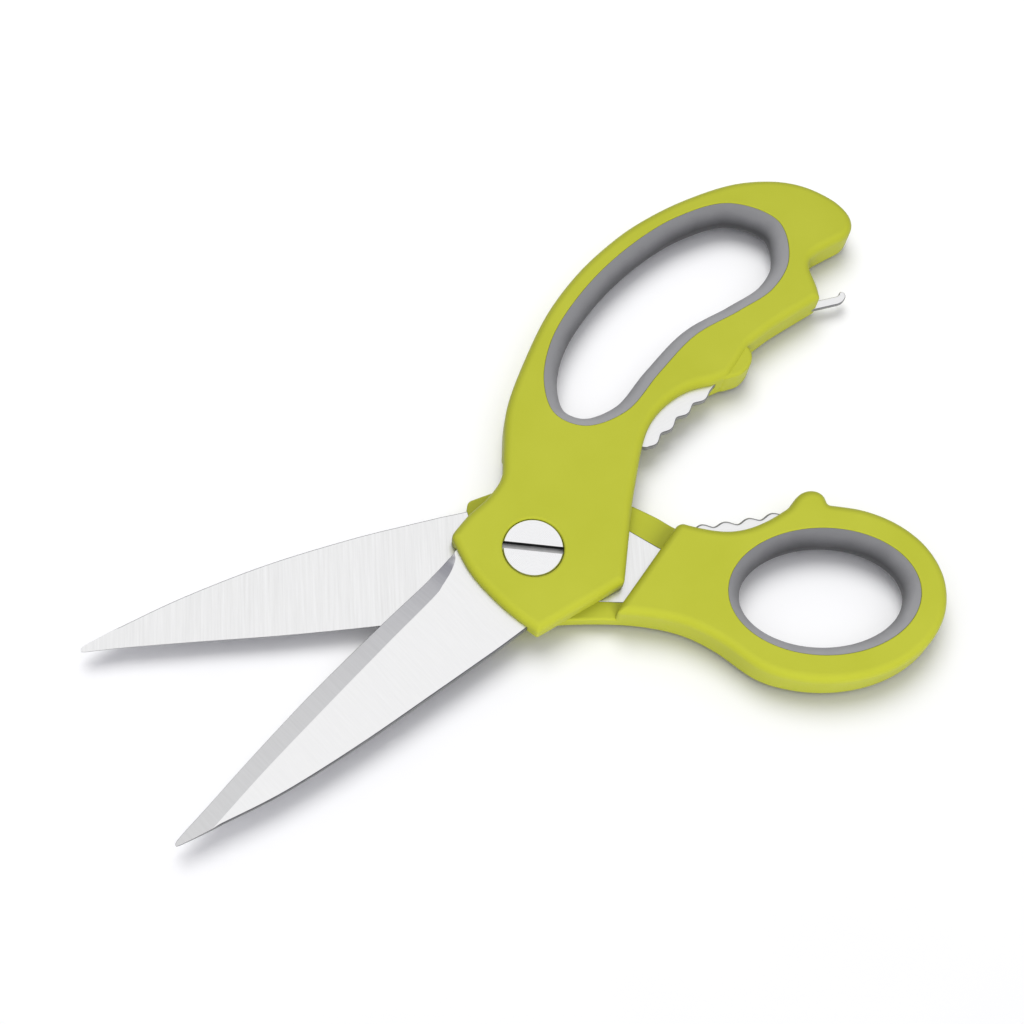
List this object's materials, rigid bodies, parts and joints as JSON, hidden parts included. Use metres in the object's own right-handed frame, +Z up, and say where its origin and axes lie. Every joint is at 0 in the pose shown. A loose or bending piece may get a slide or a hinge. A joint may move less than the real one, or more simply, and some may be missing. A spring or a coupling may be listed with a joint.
{
  "type": "multi-purpose kitchen scissors",
  "caption": "Kitchen scissors with moulded handles, soft loop liners, a slotted pivot screw, serrated cracker jaws between the handles and a bottle-opener hook",
  "frame": {"origin": "on the pivot axis, at the flat underside of the pivot nut, level with the table that the scissors lie on", "axes": "+X from the pivot to the tips along the middle of the opening, +Y to the lower half's thumb loop side, +Z up out of the table along the pivot"},
  "size_m": [0.2172, 0.1295, 0.01],
  "materials": {
    "lime_plastic": "satin moulded, lime green",
    "soft_grip": "matt soft-touch, mid grey",
    "blade_steel": "satin ground stainless",
    "pivot_steel": "bright turned stainless"
  },
  "bodies": {
    "lower_half": {"lower_blade": "blade_steel", "lower_handle": "lime_plastic", "lower_grip": "soft_grip", "lower_jaw": "blade_steel", "pivot_nut": "pivot_steel", "spring_washer": "pivot_steel", "pivot_screw": "pivot_steel"},
    "upper_half": {"upper_blade": "blade_steel", "upper_handle": "lime_plastic", "upper_grip": "soft_grip", "upper_jaw": "blade_steel", "opener_hook": "blade_steel"}
  },
  "joints": [
    {"name": "pivot", "type": "hinge", "parent": "lower_half", "child": "upper_half", "pos_m": [0, 0, 0.005], "axis": [0, 0, 1], "range_deg": [-28.4, 53]}
  ]
}
